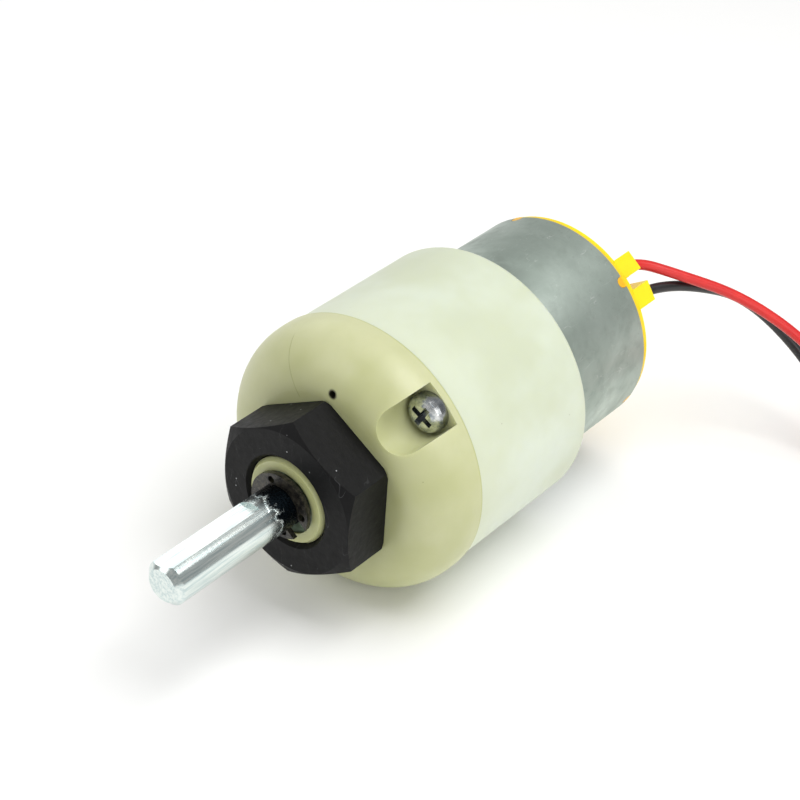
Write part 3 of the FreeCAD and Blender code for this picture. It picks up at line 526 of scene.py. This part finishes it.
def metal_look(name, bright, dull, roughness, grain=(1, 1, 1), depth=0.015):
    """Plain metal with colour variation, and grain that can be stretched along an axis."""
    look = Look(name, metallic=1.0)
    cloud = look.noise(0.6, 5.0, 0.6)
    lines = look.noise(2.5, 3.0, 0.6, look.stretched(*grain))
    tone = look.mix(look.step(cloud, 0.35, 0.7), bright, dull)
    look.colour(look.mix(look.times(look.step(lines, 0.5, 0.75), 0.35), tone, dull))
    look.rough(look.plus(look.times(lines, 0.22), roughness))
    look.bump(lines, depth, 0.6)
    return look.material


def matt_look(name, pale, deep, roughness=0.5, per_mm=1.0, depth=0.03):
    """Plain non-metal: two tones, fine grain."""
    look = Look(name)
    cloud = look.noise(per_mm, 5.0, 0.6)
    look.colour(look.mix(look.step(cloud, 0.35, 0.7), pale, deep))
    look.rough(look.plus(look.times(cloud, 0.3), roughness))
    look.bump(look.noise(per_mm * 5, 3.0, 0.6), depth, 0.5)
    return look.material


SHEET_THICKNESS = 0.5
WIRE_PITCH = 0.32


def laminated_look():
    """Stacked sheets: fine lines across the axis."""
    look = Look("laminated_core", metallic=0.9)
    wave = look.maths("SINE", look.times(look.y, math.tau / SHEET_THICKNESS))
    edge = look.step(wave, 0.6, 0.95)
    cloud = look.noise(0.7, 4.0)
    tone = look.mix(look.step(cloud, 0.3, 0.7), rgb(146, 148, 150), rgb(110, 112, 116))
    look.colour(look.mix(edge, tone, rgb(52, 54, 56)))
    look.rough(look.plus(look.times(cloud, 0.2), 0.3))
    look.bump(edge, 0.05, -0.7)
    return look.material


def winding_look():
    """Enamelled wire laid side by side."""
    look = Look("copper_winding", metallic=0.9, coat=0.5, coat_roughness=0.15)
    uneven = look.plus(look.radius(), look.times(look.noise(0.4), 0.5))
    wave = look.maths("SINE", look.times(uneven, math.tau / WIRE_PITCH))
    # Painted shade: the creases between neighbouring wires are darkened.
    groove_shade = look.step(wave, -0.3, -0.95)
    tone = look.mix(look.step(look.noise(0.8, 4.0), 0.35, 0.7), rgb(198, 104, 52), rgb(150, 70, 32))
    look.colour(look.mix(groove_shade, tone, rgb(74, 30, 14)))
    look.rough(look.plus(look.times(look.noise(1.2), 0.2), 0.22))
    look.bump(wave, 0.06, 0.8)
    return look.material


def floor_look():
    look = Look("pale_paper", roughness=0.75, specular=0.2)
    grain = look.noise(0.5, 4.0)
    look.colour(look.mix(look.times(grain, 0.25), rgb(250, 250, 249), rgb(244, 244, 242)))
    look.bump(look.noise(1.5, 4.0), 0.01, 0.3)
    return look.material


def paint(material, *names):
    """Puts a material on CAD nodes or on pieces."""
    for name in names:
        target = bpy.data.objects[name]
        target.data.materials.clear()
        target.data.materials.append(material)


paint(cover_look(), "gearbox_cover")
paint(barrel_look(), "gearbox_body")
paint(nut_look(), "mounting_nut")
paint(shaft_look(), "output_shaft")
paint(ring_look(), "retaining_ring", "thrust_washer")
paint(bush_look(), "nose_bush")
paint(can_look(), "motor_can")
paint(cap_look(), "end_cap")
paint(screw_look(), "cover_screws", "motor_screws")
paint(pvc_look("red_pvc", rgb(206, 6, 4), rgb(226, 30, 10), 0.05), "red_lead")
paint(pvc_look("black_pvc", rgb(8, 8, 10), rgb(26, 27, 31), 0.1), "black_lead")
paint(
    metal_look("tinned_copper", rgb(206, 206, 200), rgb(176, 160, 128), 0.25),
    "solder_joints", "red_strands", "black_strands", "red_tinned_end", "black_tinned_end",
)
paint(
    metal_look("tinned_brass", rgb(206, 196, 158), rgb(170, 146, 92), 0.28),
    "terminal_positive", "terminal_negative", "brush_spring_positive", "brush_spring_negative",
)
paint(
    metal_look("sintered_steel", rgb(168, 168, 164), rgb(120, 120, 116), 0.34, depth=0.03),
    "wheel_b", "wheel_c", "pinion_a", "pinion_b", "pinion_c", "output_gear",
)
paint(metal_look("turned_brass", rgb(214, 178, 92), rgb(176, 138, 64), 0.2, (0.1, 1, 0.1)), "motor_pinion")
paint(metal_look("sintered_bronze", rgb(168, 126, 74), rgb(126, 90, 50), 0.4), "front_bush", "rear_bush")
paint(
    metal_look("ground_steel", rgb(204, 206, 208), rgb(164, 167, 170), 0.16, (0.1, 1, 0.1)),
    "gear_spindles", "motor_shaft",
)
paint(metal_look("blue_spring_steel", rgb(160, 165, 172), rgb(108, 114, 124), 0.24), "magnet_springs")
paint(metal_look("turned_copper", rgb(216, 136, 86), rgb(164, 88, 52), 0.22, (0.1, 1, 0.1)), "commutator")
paint(laminated_look(), "armature_core")
paint(winding_look(), "armature_coils")
paint(matt_look("white_nylon", rgb(232, 228, 212), rgb(214, 208, 184), 0.4), "wheel_a", "shaft_washers")
paint(matt_look("dark_ferrite", rgb(62, 61, 60), rgb(40, 39, 39), 0.55), "magnet_upper", "magnet_lower")
paint(
    matt_look("pressed_carbon", rgb(46, 45, 46), rgb(26, 25, 26), 0.5, 2.0),
    "brush_positive", "brush_negative",
)
paint(matt_look("coated_tie", rgb(38, 38, 40), rgb(22, 22, 23), 0.45, 1.5), "coil_tie")

# ---------------------------------------------------------------- stage and light

FLOOR_HALF = 1.5


def add_floor():
    mesh = bpy.data.meshes.new("floor")
    height = SURFACE_Z * MM
    corners = [(x * FLOOR_HALF, y * FLOOR_HALF, height) for x, y in ((-1, -1), (1, -1), (1, 1), (-1, 1))]
    mesh.from_pydata(corners, [], [(0, 1, 2, 3)])
    floor = bpy.data.objects.new("floor", mesh)
    SCENE.collection.objects.link(floor)
    mesh.materials.append(floor_look())


def add_light(name, place, aim, size, power):
    """A soft square light at place, in millimetres, turned towards aim."""
    data = bpy.data.lights.new(name, "AREA")
    data.shape = "SQUARE"
    data.size = size * MM
    data.energy = power
    light = bpy.data.objects.new(name, data)
    light.location = mm(*place)
    light.rotation_euler = (mm(*aim) - light.location).to_track_quat("-Z", "Y").to_euler()
    SCENE.collection.objects.link(light)


add_floor()
add_light("key", (160, 60, 420), (0, 15, 0), 320, 1.55)
add_light("front", (-220, -320, 240), (0, 0, 0), 260, 0.35)
add_light("right", (380, -120, 160), (0, 20, 0), 260, 0.4)
add_light("left", (-340, 160, 220), (0, 20, 0), 260, 0.3)

world = bpy.data.worlds.new("studio")
world.use_nodes = True
world.node_tree.nodes["Background"].inputs["Color"].default_value = (1, 1, 1, 1)
world.node_tree.nodes["Background"].inputs["Strength"].default_value = 0.42
SCENE.world = world
SCENE.view_settings.view_transform = "Standard"
